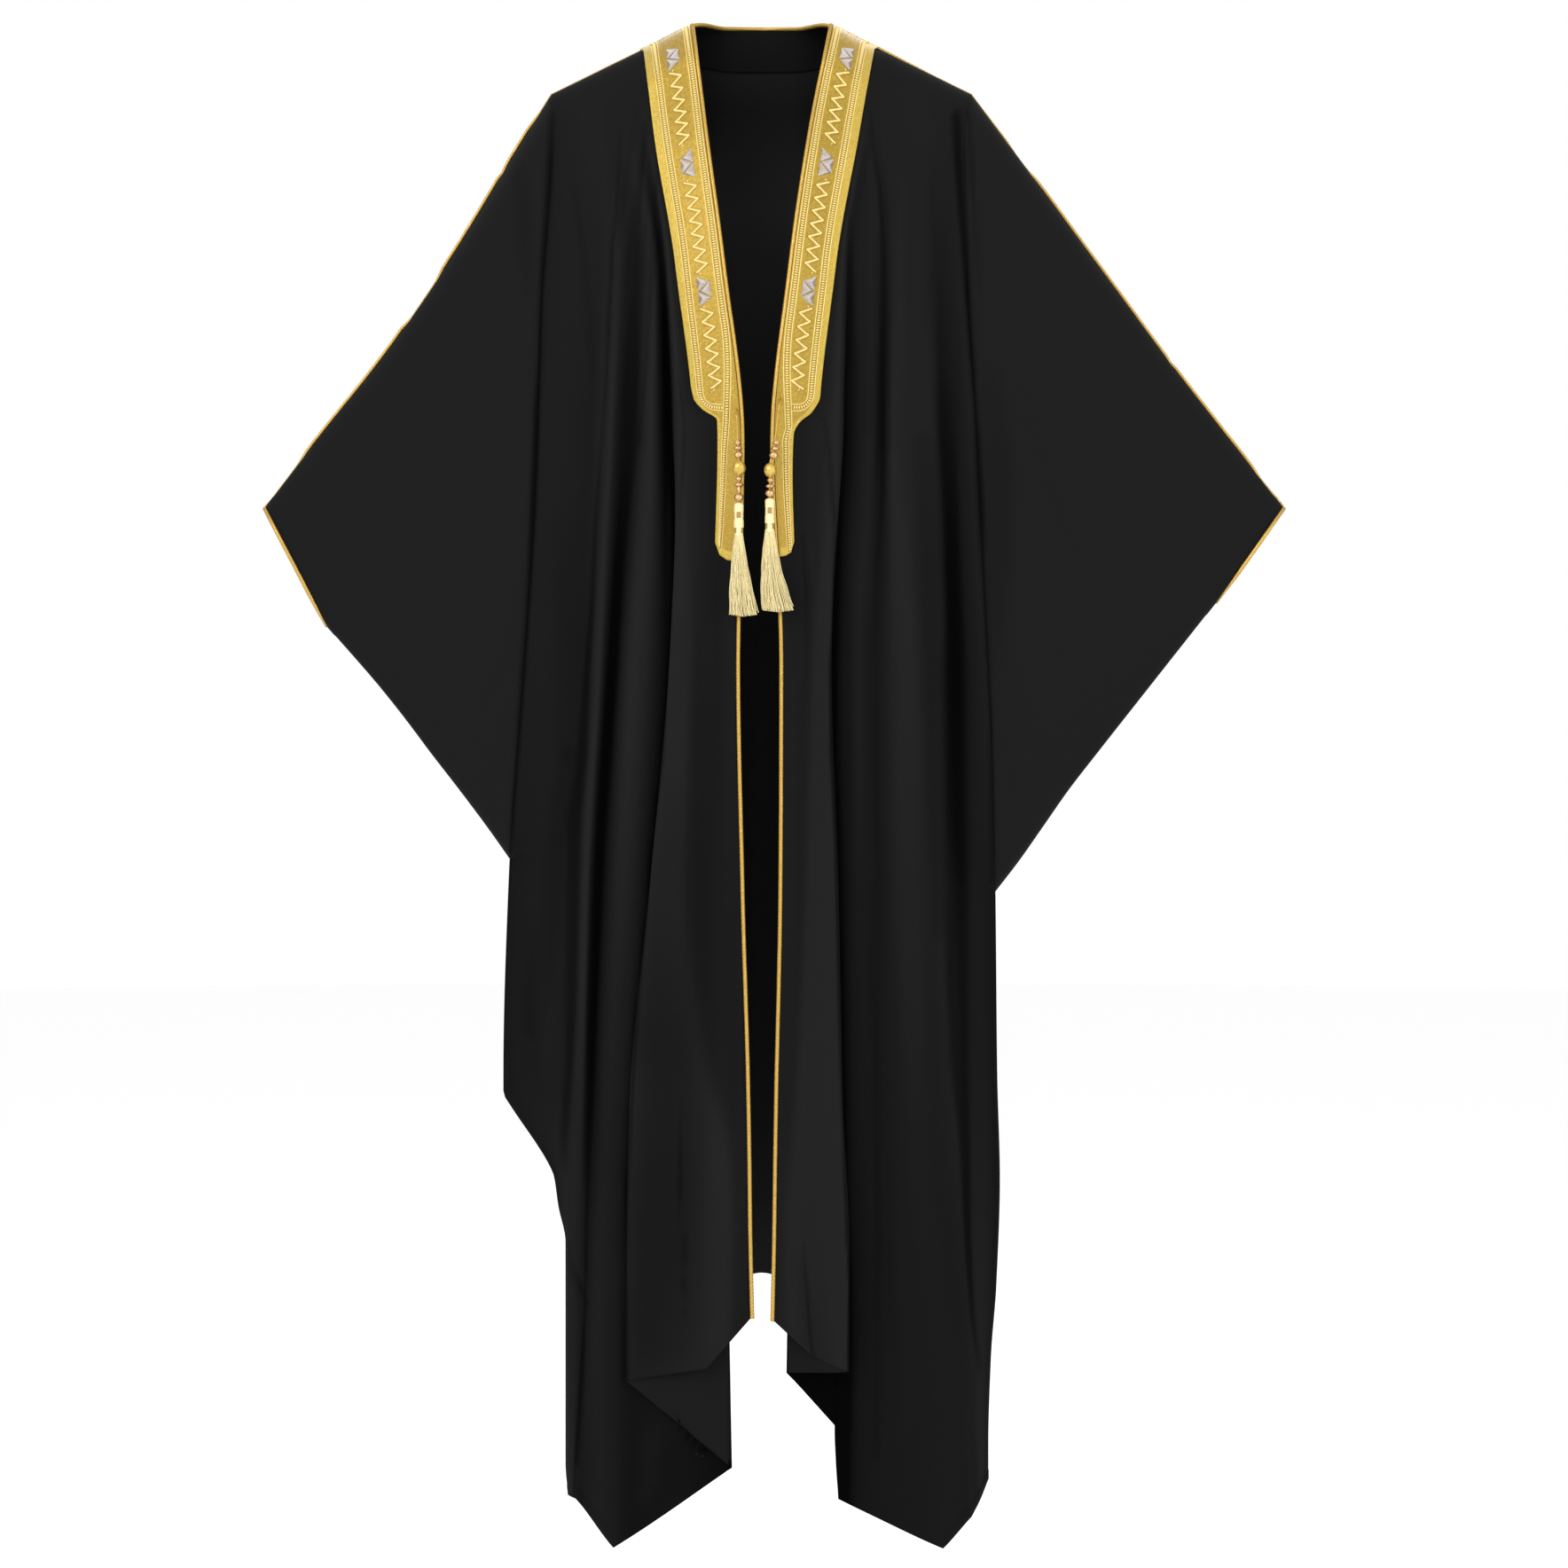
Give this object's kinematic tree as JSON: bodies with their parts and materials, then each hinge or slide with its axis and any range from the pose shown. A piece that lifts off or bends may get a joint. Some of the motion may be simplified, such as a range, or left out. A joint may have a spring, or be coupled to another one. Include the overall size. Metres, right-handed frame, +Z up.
{
  "type": "bisht cloak",
  "caption": "Long open bisht cloak of thin black cloth with wide open sleeves, gold zari bands beside the front opening, gold cord edges and two hanging tassels.",
  "frame": {"origin": "middle of the neck, level with the two neck side points of the shoulder seams", "axes": "+Z up, +X to the right as seen from the front, front towards -Y"},
  "size_m": [1.1556, 0.3221, 1.7096],
  "materials": {
    "black_cloth": "fine matte black woven cloth with a soft sheen",
    "zari": "gold metal-thread embroidery with silver blocks",
    "gold_cord": "twisted gold thread cord",
    "gold_bead": "beads wound with gold thread",
    "tassel_thread": "bright loose gold thread"
  },
  "bodies": {
    "root": {"front_panel_left": "black_cloth", "front_panel_right": "black_cloth", "back_panel": "black_cloth", "sleeve_left": "black_cloth", "sleeve_right": "black_cloth", "neck_facing": "black_cloth", "zari_band_left": "zari", "zari_band_right": "zari", "zari_band_back": "zari", "front_cord_left": "gold_cord", "front_cord_right": "gold_cord", "neck_cord": "gold_cord", "shoulder_cord_left": "gold_cord", "shoulder_cord_right": "gold_cord", "cuff_cord_left": "gold_cord", "cuff_cord_right": "gold_cord", "tassel_cord_left": "gold_cord", "tassel_cord_right": "gold_cord", "bead_upper_left": "gold_bead", "bead_large_left": "gold_bead", "bead_lower_left": "gold_bead", "bead_upper_right": "gold_bead", "bead_large_right": "gold_bead", "bead_lower_right": "gold_bead", "tassel_left": "tassel_thread", "tassel_right": "tassel_thread"}
  },
  "joints": []
}
